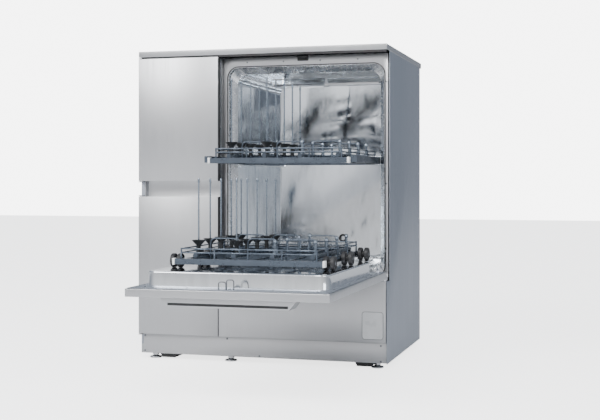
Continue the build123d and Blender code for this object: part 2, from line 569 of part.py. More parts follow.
PLATE_TOP = DOOR_Z1 + SHEET
SIDE_SCREWS_D = (-90, -175, -240, -451, -620)
SIDE_SCREWS_X = (LINER_PLATE_X[0] + 9, LINER_PLATE_X[1] - 9)
with BuildPart() as door_screws:
    places = [(screw_x, screw_d) for screw_d in SIDE_SCREWS_D for screw_x in SIDE_SCREWS_X]
    places += [(CX - 240 + screw * 120, DOOR_FRONT + 40) for screw in range(5)]
    for screw_x, screw_d in places:
        rod((screw_x, screw_d, PLATE_TOP), (screw_x, screw_d, PLATE_TOP + 1.5), SCREW_R)
save(door_screws, "door_screws")

# ---------------------------------------------------------------- racks
TALL_COLUMNS = (-165.0, -51.0)     # from the middle of the rack
SHORT_COLUMNS = (62.0, 179.0)
JET_FIRST = 58.0                   # first row behind the rack's front
TALL_ROWS = 5
TALL_PITCH = (RACK_LENGTH - 112) / (TALL_ROWS - 1)
SHORT_ROWS = 4
SHORT_PITCH = (RACK_LENGTH - 120) / (SHORT_ROWS - 1)
HOOPS = (-108.0, 5.5, 120.5)        # middles of the holding hoops
HOOP_W = 88.0
HOOP_H = 52.0
ROLLER_FIRST = 44.0                # first roller behind the rack's front
ROLLER_PITCH = (RACK_LENGTH - 64) / 2
ROLLER_D = [-LOWER_RACK_OUT + ROLLER_FIRST + step * ROLLER_PITCH for step in range(3)]
ROLLER_Z = TRACK_Z + ROLLER_R + 0.1


def hoop(x, d, foot_z, top_z):
    """Adds an upright wire hoop across the rack."""
    with BuildLine() as bend:
        FilletPolyline(
            (x - HOOP_W / 2, at(d), foot_z), (x - HOOP_W / 2, at(d), top_z),
            (x + HOOP_W / 2, at(d), top_z), (x + HOOP_W / 2, at(d), foot_z), radius=14,
        )
    path = bend.wires()[0]
    with BuildSketch(Plane(origin=path @ 0, z_dir=path % 0)) as section:
        Circle(WIRE_R)
    sweep(section.sketch, path=path)


def rack(name, out, base_z, jet_top):
    """Builds the five sub-parts of one rack, whose front stands out from the front plane."""
    front_d, rear_d = -out, -out + RACK_LENGTH
    tube_z = (base_z, base_z + RACK_TUBE)
    pipe_z = tube_z[1] + PIPE_R
    cone_z = pipe_z + PIPE_R - 3
    wire_x = (CX - RACK_HALF, CX + RACK_HALF)
    wire_d = (front_d + 6, rear_d - 6)
    rails_z = (tube_z[1] + 17, tube_z[1] + 28)

    with BuildPart() as frame:
        for side in (-1, 1):
            tube_x = CX + side * RACK_HALF
            block((tube_x - RACK_TUBE / 2, tube_x + RACK_TUBE / 2), (front_d, rear_d), tube_z)
        for cross_d in (front_d, (front_d + rear_d) / 2 - RACK_TUBE / 2, rear_d - RACK_TUBE):
            half = RACK_CROSS_HALF if cross_d == front_d else RACK_HALF
            block((CX - half, CX + half), (cross_d, cross_d + RACK_TUBE), tube_z)
        for bar in range(-1, 2):
            block((CX + bar * 98 - 3, CX + bar * 98 + 3), (front_d, rear_d), (base_z + 8, base_z + 12))
        for step in (1, 3):
            bar_d = front_d + RACK_LENGTH * step / 4
            block((CX - RACK_HALF, CX + RACK_HALF), (bar_d - 3, bar_d + 3), (base_z + 4, base_z + 8))
        for level in rails_z:
            for x in wire_x:
                rod((x, wire_d[0], level), (x, wire_d[1], level), WIRE_R)
            for d in wire_d:
                rod((wire_x[0], d, level), (wire_x[1], d, level), WIRE_R)
        posts = [(x, wire_d[0]) for x in (CX - 98, CX, CX + 98)]
        posts += [(x, wire_d[1]) for x in (CX - 98, CX + 98)]
        posts += [(x, wire_d[0] + (wire_d[1] - wire_d[0]) * step / 4) for x in wire_x for step in range(5)]
        for x, d in posts:
            rod((x, d, tube_z[1] - 2), (x, d, rails_z[1] + 2.5), WIRE_R + 0.4)
        for step in (1, 3):
            for hoop_x in HOOPS:
                hoop(CX + hoop_x, front_d + RACK_LENGTH * step / 4, base_z + 7, tube_z[1] + HOOP_H)
        if name == "lower":
            for side in (-1, 1):
                for roller_d in ROLLER_D:
                    inner = CX + side * (RACK_HALF + RACK_TUBE / 2 - 1)
                    outer = CX + side * (TRACK_HALF + ROLLER_W + ROLLER_GAP / 2)
                    rod((inner, roller_d, ROLLER_Z), (outer, roller_d, ROLLER_Z), ROLLER_AXLE_R)
        if name == "upper":
            for side in (-1, 1):
                inner = CX + side * RACK_HALF
                outer = CX + side * (CHAMBER_WIDTH / 2 - SHEET - 2)
                runner = sorted((outer - side * RUNNER_W, outer))
                block(runner, (front_d + 20, rear_d), RUNNER_Z)
                for link_d in (front_d + 60, (front_d + rear_d) / 2, rear_d - 60):
                    block(sorted((inner, runner[0] if side > 0 else runner[1])), (link_d - 10, link_d + 10),
                          (RUNNER_Z[0] + 2, RUNNER_Z[0] + 10))
    save(frame, f"{name}_rack_frame")

    with BuildPart() as caps:
        for side in (-1, 1):
            edge = CX + side * RACK_CROSS_HALF
            cap_x = sorted((edge, edge + side * 7))
            block(cap_x, (front_d - 1, front_d + RACK_TUBE + 1), (tube_z[0] - 1, tube_z[1] + 1))
    save(caps, f"{name}_rack_caps")

    with BuildPart() as manifold:
        for column in TALL_COLUMNS + SHORT_COLUMNS:
            rod((CX + column, front_d + 30, pipe_z), (CX + column, rear_d - 24, pipe_z), PIPE_R)
        cross_x = (CX + TALL_COLUMNS[0], CX + SHORT_COLUMNS[1])
        rod((cross_x[0], rear_d - 30, pipe_z), (cross_x[1], rear_d - 30, pipe_z), PIPE_R + 0.5)
        rod((CX, rear_d - 30, pipe_z), (CX, rear_d, pipe_z), PIPE_R)
    save(manifold, f"{name}_rack_manifold")

    with BuildPart() as jets:
        for column in TALL_COLUMNS:
            for row in range(TALL_ROWS):
                d = front_d + JET_FIRST + row * TALL_PITCH
                rod((CX + column, d, cone_z + CONE_STEM + CONE_H), (CX + column, d, jet_top), TALL_JET_R)
                rod((CX + column, d, jet_top), (CX + column, d, jet_top + 4), TALL_JET_R + 1)
        for column in SHORT_COLUMNS:
            for row in range(SHORT_ROWS):
                d = front_d + JET_FIRST + row * SHORT_PITCH
                rod((CX + column, d, cone_z), (CX + column, d, cone_z + 34), 4)
                rod((CX + column, d, cone_z + 34), (CX + column, d, cone_z + 44), 6)
    save(jets, f"{name}_rack_jets")

    with BuildPart() as cones:
        for column in TALL_COLUMNS:
            for row in range(TALL_ROWS):
                d = front_d + JET_FIRST + row * TALL_PITCH
                rod((CX + column, d, cone_z), (CX + column, d, cone_z + CONE_STEM), CONE_FOOT_R)
                with Locations((CX + column, at(d), cone_z + CONE_STEM + CONE_H / 2)):
                    Cone(CONE_FOOT_R, CONE_R, CONE_H)
    save(cones, f"{name}_rack_cones")


rack("lower", LOWER_RACK_OUT, LOWER_RACK_Z, JET_TOP_LOWER)
rack("upper", UPPER_RACK_OUT, UPPER_RACK_Z, JET_TOP_UPPER)

DISCS = (-(ROLLER_GAP + ROLLER_W) / 2, (ROLLER_GAP + ROLLER_W) / 2)
for side_name, side in (("left", -1), ("right", 1)):
    for roller_number, roller_d in enumerate(ROLLER_D, 1):
        track_x = CX + side * TRACK_HALF
        with BuildPart() as roller:
            for disc in DISCS:
                disc_x = (track_x + disc - ROLLER_W / 2, track_x + disc + ROLLER_W / 2)
                rod((disc_x[0], roller_d, ROLLER_Z), (disc_x[1], roller_d, ROLLER_Z), ROLLER_R)
            rod((track_x + DISCS[0], roller_d, ROLLER_Z), (track_x + DISCS[1], roller_d, ROLLER_Z), 9)
            bore_r = ROLLER_AXLE_R + PIN_CLEAR
            rod((track_x - 30, roller_d, ROLLER_Z), (track_x + 30, roller_d, ROLLER_Z), bore_r, Mode.SUBTRACT)
        save(roller, f"rack_roller_{side_name}_{roller_number}")
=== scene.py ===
"""Looks of a laboratory glass washer: steel finishes, racks, jets, rollers, feet and studio."""
import logging
from dataclasses import dataclass, field
from enum import Enum
from typing import Callable
from math import cos, pi, radians, sin

import bmesh
import bpy
from mathutils import Matrix, Vector


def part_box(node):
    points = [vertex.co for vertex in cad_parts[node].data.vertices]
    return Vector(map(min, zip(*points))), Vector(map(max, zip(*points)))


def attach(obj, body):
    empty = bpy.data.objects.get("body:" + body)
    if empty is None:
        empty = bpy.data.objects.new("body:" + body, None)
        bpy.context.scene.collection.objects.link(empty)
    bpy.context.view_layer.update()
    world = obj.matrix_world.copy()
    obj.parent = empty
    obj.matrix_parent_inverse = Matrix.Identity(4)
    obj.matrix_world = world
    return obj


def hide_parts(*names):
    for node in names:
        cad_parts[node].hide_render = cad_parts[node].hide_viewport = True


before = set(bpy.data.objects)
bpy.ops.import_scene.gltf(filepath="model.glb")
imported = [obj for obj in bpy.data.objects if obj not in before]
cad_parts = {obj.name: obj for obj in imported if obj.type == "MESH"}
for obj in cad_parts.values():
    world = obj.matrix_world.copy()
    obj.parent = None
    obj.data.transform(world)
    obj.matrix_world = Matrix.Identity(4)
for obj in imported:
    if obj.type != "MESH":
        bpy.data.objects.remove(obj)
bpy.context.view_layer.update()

LOG = logging.getLogger("washer")
MM = 0.001
UP = (0, 0, 1)

MERGE = 0.01 * MM  # corners of a CAD node nearer than this are one
FLAT = radians(0.5)  # faces that turn less than this are one face
FOLD = radians(30)  # edges that turn more than this are rolled over
CREASE = radians(32)  # edges that turn more than this are shaded sharp
BEND_STEPS = 6  # facets in a wire's turn and in a plate's rounded corner
NOISE_LOW, NOISE_HIGH = 0.3, 0.7  # a noise's factor is mostly between these


class Body(Enum):
    """The bodies that carry many pieces."""

    CABINET = "cabinet"
    DOOR = "door"


class Level(Enum):
    """The two racks, by where they run."""

    LOWER = "lower"
    UPPER = "upper"


class Grain(Enum):
    """Which way the brush marks of a steel sheet run."""

    UPRIGHT = (260.0, 260.0, 2.5)
    ROUND = (60.0, 60.0, 60.0)


# ---------------------------------------------------------------- finishes
class Palette:
    """A node tree being wired for one finish."""

    def __init__(self, name: str) -> None:
        """Starts an empty material with one shader.

        Args:
            name: The material's name.
        """
        self.material = bpy.data.materials.new(name)
        self.material.use_nodes = True
        self.nodes = self.material.node_tree.nodes
        self.links = self.material.node_tree.links
        self.shader = self.nodes["Principled BSDF"]
        self.coords = self.nodes.new("ShaderNodeTexCoord")

    def noise(
        self, scale: float, stretch: tuple[float, float, float] = (1, 1, 1), detail: float = 4.0,
    ) -> bpy.types.NodeSocket:
        """Adds a noise read from Object coordinates.

        Args:
            scale: Overall frequency, per metre.
            stretch: Frequency multiplier on each axis.
            detail: Octaves of the noise.

        Returns:
            The noise's factor socket.
        """
        mapping = self.nodes.new("ShaderNodeMapping")
        mapping.inputs["Scale"].default_value = stretch
        self.links.new(self.coords.outputs["Object"], mapping.inputs["Vector"])
        noise = self.nodes.new("ShaderNodeTexNoise")
        noise.inputs["Scale"].default_value = scale
        noise.inputs["Detail"].default_value = detail
        self.links.new(mapping.outputs["Vector"], noise.inputs["Vector"])
        return noise.outputs["Fac"]

    def ramp(self, source: bpy.types.NodeSocket, low: tuple, high: tuple) -> bpy.types.NodeSocket:
        """Maps a factor to a colour between two.

        Args:
            source: The factor.
            low: Colour at NOISE_LOW.
            high: Colour at NOISE_HIGH.

        Returns:
            The colour socket.
        """
        ramp = self.nodes.new("ShaderNodeValToRGB")
        ramp.color_ramp.elements[0].position = NOISE_LOW
        ramp.color_ramp.elements[1].position = NOISE_HIGH
        ramp.color_ramp.elements[0].color = (*low, 1.0)
        ramp.color_ramp.elements[1].color = (*high, 1.0)
        self.links.new(source, ramp.inputs["Fac"])
        return ramp.outputs["Color"]

    def spread(self, source: bpy.types.NodeSocket, low: float, high: float) -> bpy.types.NodeSocket:
        """Maps a factor to a range of numbers.

        Args:
            source: The factor.
            low: Result at NOISE_LOW.
            high: Result at NOISE_HIGH.

        Returns:
            The result's socket.
        """
        spread = self.nodes.new("ShaderNodeMapRange")
        spread.inputs["From Min"].default_value = NOISE_LOW
        spread.inputs["From Max"].default_value = NOISE_HIGH
        spread.inputs["To Min"].default_value = low
        spread.inputs["To Max"].default_value = high
        self.links.new(source, spread.inputs["Value"])
        return spread.outputs["Result"]

    def bump(self, height: bpy.types.NodeSocket, strength: float, distance: float) -> None:
        """Drives the shader's normal from a height.

        Args:
            height: The height's socket.
            strength: How much of the bump shows.
            distance: Height of the relief, in metres.
        """
        bump = self.nodes.new("ShaderNodeBump")
        bump.inputs["Strength"].default_value = strength
        bump.inputs["Distance"].default_value = distance
        self.links.new(height, bump.inputs["Height"])
        self.links.new(bump.outputs["Normal"], self.shader.inputs["Normal"])

    def put(self, socket: str, value: object) -> None:
        """Sets or links one of the shader's inputs.

        Args:
            socket: The input's name.
            value: A number, a colour or an output socket.
        """
        target = self.shader.inputs[socket]
        if isinstance(value, bpy.types.NodeSocket):
            self.links.new(value, target)
        else:
            target.default_value = value


@dataclass(frozen=True)
class SheetSteel:
    """Brushed or satin stainless sheet."""

    name: str
    color: tuple[float, float, float]
    grain: Grain = Grain.UPRIGHT
    roughness: float = 0.34
    shade: float = 0.93
    clouds: float = 2.2
    relief: float = 0.2 * MM

    def build(self) -> bpy.types.Material:
        """Builds the material.

        Returns:
            The material.
        """
        palette = Palette(self.name)
        marks = palette.noise(1.0, self.grain.value, 6.0)
        clouds = palette.noise(self.clouds, detail=2.0)
        dark = tuple(channel * self.shade for channel in self.color)
        palette.put("Base Color", palette.ramp(clouds, dark, self.color))
        palette.put("Metallic", 1.0)
        palette.put("Roughness", palette.spread(marks, self.roughness - 0.06, self.roughness + 0.08))
        palette.bump(marks, 0.10, self.relief)
        return palette.material


@dataclass(frozen=True)
class MirrorSteel:
    """Polished sheet, pressed thin enough to wave a little."""

    name: str
    color: tuple[float, float, float]
    roughness: float = 0.12
    wave: float = 1.5 * MM
    shade: float = 0.86
    waves: float = 6.0
    films: float = 38.0

    def build(self) -> bpy.types.Material:
        """Builds the material.

        Returns:
            The material.
        """
        palette = Palette(self.name)
        waves = palette.noise(self.waves, detail=1.0)
        films = palette.noise(self.films, (1, 1, 0.25), 5.0)
        dark = tuple(channel * self.shade for channel in self.color)
        palette.put("Base Color", palette.ramp(films, dark, self.color))
        palette.put("Metallic", 1.0)
        palette.put("Roughness", palette.spread(films, self.roughness - 0.04, self.roughness + 0.08))
        palette.bump(waves, 0.35, self.wave)
        return palette.material


@dataclass(frozen=True)
class Moulded:
    """Moulded plastic or rubber with a fine skin."""

    name: str
    color: tuple[float, float, float]
    roughness: float = 0.45
    skin: float = 900.0
    relief: float = 0.08 * MM
    wear: float = 24.0
    fade: float = 1.15
    dust: float = 0.012

    def build(self) -> bpy.types.Material:
        """Builds the material.

        Returns:
            The material.
        """
        palette = Palette(self.name)
        skin = palette.noise(self.skin, detail=2.0)
        wear = palette.noise(self.wear, detail=4.0)
        pale = tuple(min(1.0, channel * self.fade + self.dust) for channel in self.color)
        palette.put("Base Color", palette.ramp(wear, self.color, pale))
        palette.put("Roughness", palette.spread(wear, self.roughness - 0.06, self.roughness + 0.08))
        palette.bump(skin, 0.35, self.relief)
        return palette.material


@dataclass(frozen=True)
class Finishes:
    """Every finish of the washer, built once."""

    front: bpy.types.Material
    side: bpy.types.Material
    zinc: bpy.types.Material
    mirror: bpy.types.Material
    bright: bpy.types.Material
    flange_highlight: bpy.types.Material
    screw: bpy.types.Material
    rack: bpy.types.Material
    jet: bpy.types.Material
    rubber: bpy.types.Material
    black: bpy.types.Material
    white: bpy.types.Material
    cast: bpy.types.Material
    label: bpy.types.Material
    rule: bpy.types.Material

    @staticmethod
    def mix() -> "Finishes":
        """Builds every finish.

        Returns:
            The set of finishes.
        """
        return Finishes(
            front=SheetSteel("brushed_front", (0.56, 0.565, 0.578), roughness=0.36).build(),
            # the side sheets: satin steel, its colour also darkened and blued as painted shade for faces
            # turned from the light
            side=SheetSteel("satin_side_painted_shade", (0.40, 0.43, 0.48), roughness=0.46).build(),
            zinc=SheetSteel("zinc_sheet", (0.50, 0.52, 0.53), Grain.ROUND, 0.5).build(),
            mirror=MirrorSteel("polished_sheet", (0.86, 0.89, 0.92), 0.07, 0.0006).build(),
            bright=MirrorSteel("turned_steel", (0.72, 0.73, 0.75), 0.2, 0.0001).build(),
            # the rolled flange of the chamber opening: polished steel with its colour lifted near white, a
            # painted highlight
            flange_highlight=SheetSteel("flange_painted_highlight", (0.95, 0.96, 0.97), Grain.ROUND, 0.24).build(),
            screw=MirrorSteel("screw_steel", (0.20, 0.21, 0.23), 0.3, 0.0001).build(),
            rack=SheetSteel("rack_wire", (0.13, 0.155, 0.19), Grain.ROUND, 0.3).build(),
            jet=SheetSteel("drawn_tube", (0.24, 0.28, 0.33), Grain.ROUND, 0.26).build(),
            rubber=Moulded("black_rubber", (0.012, 0.012, 0.014), 0.5, 500.0).build(),
            black=Moulded("black_plastic", (0.008, 0.009, 0.010), 0.36).build(),
            white=Moulded("white_plastic", (0.84, 0.85, 0.85), 0.4).build(),
            cast=Moulded("painted_casting", (0.20, 0.22, 0.24), 0.5, 300.0, 0.0002).build(),
            label=Moulded("label_film", (0.60, 0.61, 0.62), 0.3, 1200.0, 0.00003).build(),
            rule=Moulded("label_rule", (0.07, 0.075, 0.08), 0.4, 1200.0, 0.00003).build(),
        )


# ---------------------------------------------------------------- shaping tools
class Shaper:
    """A mesh under construction, in metres, in the machine's own frame."""

    def __init__(self) -> None:
        """Starts an empty mesh."""
        self.bm = bmesh.new()

    def box(self, low: Vector, high: Vector, bevel: float = 0.6 * MM) -> None:
        """Adds a block with rounded edges.

        Args:
            low: Lowest corner.
            high: Highest corner.
            bevel: Width of the rounding.
        """
        low, high = Vector(low), Vector(high)
        size = high - low
        place = Matrix.Translation((low + high) / 2) @ Matrix.Diagonal((*size, 1))
        made = bmesh.ops.create_cube(self.bm, size=1.0, matrix=place)
        edges = list(dict.fromkeys(edge for vert in made["verts"] for edge in vert.link_edges))
        widest = min(size) * 0.45
        if bevel:
            bmesh.ops.bevel(
                self.bm, geom=edges, offset=min(bevel, widest), segments=2, profile=0.5,
                affect="EDGES", material=-1,
            )

    def rod(self, start: Vector, end: Vector, radius: float, sides: int) -> None:
        """Adds a straight bar.

        Args:
            start: Middle of its first end.
            end: Middle of its last end.
            radius: Its radius, to its corners.
            sides: Facets round it.
        """
        start, end = Vector(start), Vector(end)
        along = end - start
        turn = along.to_track_quat("Z", "Y").to_matrix().to_4x4()
        bmesh.ops.create_cone(
            self.bm, cap_ends=True, segments=sides, radius1=radius, radius2=radius, depth=along.length,
            matrix=Matrix.Translation((start + end) / 2) @ turn,
        )

    def lathe(
        self, centre: Vector, axis: Vector, profile: list[tuple[float, float]], steps: int,
    ) -> None:
        """Spins a profile round an axis.

        Args:
            centre: Origin of the profile.
            axis: Direction that the profile's second number runs along.
            profile: Points as (radius, distance along the axis), from the axis out and back to
                it, or closed round a bore.
            steps: Facets round the axis.
        """
        centre, axis = Vector(centre), Vector(axis).normalized()
        out = axis.orthogonal().normalized()
        points = [self.bm.verts.new(centre + out * r + axis * h) for r, h in profile]
        edges = [self.bm.edges.new(pair) for pair in zip(points, points[1:])]
        bmesh.ops.spin(
            self.bm, geom=points + edges, cent=centre, axis=axis, angle=2 * pi, steps=steps, use_merge=True,
        )
        bmesh.ops.remove_doubles(self.bm, verts=self.bm.verts, dist=1e-6)

    def wire(self, start: Vector, heading: Vector, moves: list[tuple], radius: float, sides: int = 8) -> None:
        """Bends a wire as a workshop would, by runs and turns.

        Args:
            start: Middle of its first end.
            heading: Direction that it sets off in.
            moves: Either (length,) for a straight run or (axis, bend radius, angle) for a turn.
            radius: Radius of the wire.
            sides: Facets round it.
        """
        position, heading = Vector(start), Vector(heading).normalized()
        turn = heading.to_track_quat("Z", "Y").to_matrix().to_4x4()
        ring = bmesh.ops.create_circle(
            self.bm, cap_ends=True, segments=sides, radius=radius, matrix=Matrix.Translation(position) @ turn,
        )["verts"]
        edges = list(dict.fromkeys(edge for vert in ring for edge in vert.link_edges))
        for move in moves:
            steps = 1 if len(move) == 1 else BEND_STEPS
            for _ in range(steps):
                made = bmesh.ops.extrude_edge_only(self.bm, edges=edges)["geom"]
                verts = [g for g in made if isinstance(g, bmesh.types.BMVert)]
                fresh = set(verts)
                edges = [g for g in made if isinstance(g, bmesh.types.BMEdge) and set(g.verts) <= fresh]
                if len(move) == 1:
                    bmesh.ops.translate(self.bm, verts=verts, vec=heading * move[0])
                    position = position + heading * move[0]
                else:
                    axis, bend, angle = Vector(move[0]), move[1], move[2] / steps
                    centre = position + axis.cross(heading) * bend
                    spin = Matrix.Rotation(angle, 3, axis)
                    bmesh.ops.rotate(self.bm, verts=verts, cent=centre, matrix=spin)
                    position = centre + spin @ (position - centre)
                    heading = spin @ heading
        bmesh.ops.edgeloop_fill(self.bm, edges=edges)

    def outline(self, centre: Vector, size: tuple[float, float], radius: float) -> list[bmesh.types.BMEdge]:
        """Draws a rounded rectangle in the upright front plane.

        Args:
            centre: Its middle.
            size: Width and height.
            radius: Corner radius.

        Returns:
            Its edges, in order.
        """
        verts = []
        for turn, (sx, sz) in enumerate(((1, 1), (-1, 1), (-1, -1), (1, -1))):
            hub = Vector(centre) + Vector((sx * (size[0] / 2 - radius), 0, sz * (size[1] / 2 - radius)))
            for step in range(BEND_STEPS + 1):
                angle = pi / 2 * (turn + step / BEND_STEPS)
                verts.append(self.bm.verts.new(hub + Vector((cos(angle), 0, sin(angle))) * radius))
        return [self.bm.edges.new((a, b)) for a, b in zip(verts, verts[1:] + verts[:1])]

    def thicken(self, faces: list[bmesh.types.BMFace], depth: Vector) -> None:
        """Gives a flat set of faces a thickness.

        Args:
            faces: The faces.
            depth: The way and distance to extrude.
        """
        made = bmesh.ops.extrude_face_region(self.bm, geom=faces, use_keep_orig=True)["geom"]
        moved = [g for g in made if isinstance(g, bmesh.types.BMVert)]
        bmesh.ops.translate(self.bm, verts=moved, vec=Vector(depth))

    def plate(self, centre: Vector, size: tuple[float, float], radius: float, depth: Vector) -> None:
        """Adds an upright plate with rounded corners.

        Args:
            centre: The middle of its back face.
            size: Width and height.
            radius: Corner radius.
            depth: The way and distance that it stands out.
        """
        edges = self.outline(centre, size, radius)
        made = bmesh.ops.edgeloop_fill(self.bm, edges=edges)["faces"]
        self.thicken(made, depth)

    def rule(
        self, centre: Vector, size: tuple[float, float], radius: float, width: float, depth: Vector,
    ) -> None:
        """Adds an upright rounded border.

        Args:
            centre: The middle of its back face.
            size: Outer width and height.
            radius: Outer corner radius.
            width: Width of the line.
            depth: The way and distance that it stands out.
        """
        outer = self.outline(centre, size, radius)
        inner = self.outline(centre, (size[0] - 2 * width, size[1] - 2 * width), radius - width)
        self.thicken(bmesh.ops.bridge_loops(self.bm, edges=outer + inner)["faces"], depth)

    def done(
        self, name: str, body: str, slot: str, material: bpy.types.Material, *stands_for: str,
    ) -> bpy.types.Object:
        """Turns the mesh into a piece that rides on a body.

        Args:
            name: The piece's name.
            body: The body that it rides on.
            slot: Name of the record's material slot; not used.
            material: Its finish.
            stands_for: CAD nodes that it replaces.

        Returns:
            The piece.
        """
        bmesh.ops.recalc_face_normals(self.bm, faces=self.bm.faces)
        mesh = bpy.data.meshes.new(name)
        self.bm.to_mesh(mesh)
        self.bm.free()
        return dress(mesh, name, body, slot, material, *stands_for)


def dress(
    mesh: bpy.types.Mesh, name: str, body: str, slot: str, material: bpy.types.Material, *stands_for: str,
) -> bpy.types.Object:
    """Links a finished mesh as a piece.

    Args:
        mesh: The mesh.
        name: The piece's name.
        body: The body that it rides on.
        slot: Name of the record's material slot; not used.
        material: Its finish.
        stands_for: CAD nodes that it replaces.

    Returns:
        The piece.
    """
    mesh.polygons.foreach_set("use_smooth", [True] * len(mesh.polygons))
    mesh.set_sharp_from_angle(angle=CREASE)
    mesh.materials.clear()
    mesh.materials.append(material)
    piece = bpy.data.objects.new(name, mesh)
    bpy.context.scene.collection.objects.link(piece)
    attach(piece, body)
    if stands_for:
        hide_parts(*stands_for)
    LOG.info("piece %s: %d faces on %s", name, len(mesh.polygons), body)
    return piece


@dataclass(frozen=True)
class Patch:
    """A second finish on some of a piece's faces."""

    material: bpy.types.Material
    covers: Callable[[Vector, Vector], bool]


def refined(
    node: str, body: str, slot: str, material: bpy.types.Material,
    edge: float = 0.8 * MM, patch: Patch | None = None,
) -> bpy.types.Object:
    """Makes a finished copy of a CAD node, with its sharp edges rolled over.

    Args:
        node: The CAD node.
        body: The body that it rides on.
        slot: Name of the record's material slot; not used.
        material: Its finish.
        edge: Width of the rolled edge.
        patch: A second finish and the test of face middle and normal that picks its faces.

    Returns:
        The piece.
    """
    bm = bmesh.new()
    bm.from_mesh(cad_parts[node].data)
    bmesh.ops.remove_doubles(bm, verts=bm.verts, dist=MERGE)
    bmesh.ops.dissolve_limit(bm, angle_limit=FLAT, verts=bm.verts, edges=bm.edges)
    sharp = [e for e in bm.edges if e.is_manifold and e.calc_face_angle(0) > FOLD]
    if sharp and edge:
        bmesh.ops.bevel(
            bm, geom=sharp, offset=edge, segments=2, profile=0.5, affect="EDGES", material=-1,
            clamp_overlap=True,
        )
    bm.normal_update()
    bm.faces.index_update()
    patched = [f.index for f in bm.faces if patch and patch.covers(f.calc_center_median(), f.normal)]
    mesh = bpy.data.meshes.new(f"{node}_finished")
    bm.to_mesh(mesh)
    bm.free()
    piece = dress(mesh, f"{node}_finished", body, slot, material, node)
    if patch:
        mesh.materials.append(patch.material)
        for index in patched:
            mesh.polygons[index].material_index = 1
    return piece


def corners(node: str) -> tuple[Vector, Vector]:
    """Lowest and highest corner of a CAD node.

    Args:
        node: The CAD node.

    Returns:
        The two corners.
    """
    low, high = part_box(node)
    return Vector(low), Vector(high)


def in_mm(profile: list[tuple[float, float]]) -> list[tuple[float, float]]:
    """Turns a profile written in millimetres into metres."""
    return [(radius * MM, height * MM) for radius, height in profile]


def mirrored(half: list[tuple[float, float]]) -> list[tuple[float, float]]:
    """Closes a wheel's profile from its right half.

    Args:
        half: Points as (radius, distance from the middle plane), from there out to the bore.

    Returns:
        The whole profile, from the left end of the bore round to it again.
    """
    left = [(radius, -place) for radius, place in reversed(half)]
    return left + half + [left[0]]


def loose_parts(node: str) -> list[list[Vector]]:
    """Splits a CAD node into its separate solids.

    Args:
        node: The CAD node.

    Returns:
        The corner points of each solid.
    """
    bm = bmesh.new()
    bm.from_mesh(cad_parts[node].data)
    bmesh.ops.remove_doubles(bm, verts=bm.verts, dist=MERGE)
    waiting = dict.fromkeys(bm.verts)
    parts = []
    while waiting:
        stack, points = [waiting.popitem()[0]], []
        while stack:
            vert = stack.pop()
            points.append(vert.co.copy())
            for edge in vert.link_edges:
                other = edge.other_vert(vert)
                if other in waiting:
                    del waiting[other]
                    stack.append(other)
        parts.append(points)
    bm.free()
    return parts


def crossed_screws(node: str, body: str, facing: tuple, material: bpy.types.Material) -> None:
    """Replaces a node of plain screw heads by domed heads with a cross slot.

    Args:
        node: The CAD node that holds the heads.
        body: The body that they ride on.
        facing: Direction that the heads face.
        material: Their finish.
    """
    facing = Vector(facing)
    across = facing.orthogonal().normalized()
    shape = Shaper()
    for points in loose_parts(node):
        middle = sum(points, Vector()) / len(points)
        heights = [point.dot(facing) for point in points]
        depth = max(heights) - min(heights)
        foot = middle - facing * depth / 2
        radius = max((c - middle - facing * (c - middle).dot(facing)).length for c in points)
        recess = radius * 0.34
        dome = [
            (0, 0), (radius, 0), (radius * 0.96, depth * 0.5), (radius * 0.7, depth * 0.88),
            (recess, depth), (recess, depth * 0.3), (0, depth * 0.3),
        ]
        shape.lathe(foot, facing, dome, 16)
        tip = foot + facing * depth * 0.85
        for arm in (across, facing.cross(across)):
            shape.rod(tip - arm * radius * 0.6, tip + arm * radius * 0.6, radius * 0.09, sides=4)
    shape.done(f"{node}_crossed", body, "bright_steel", material, node)


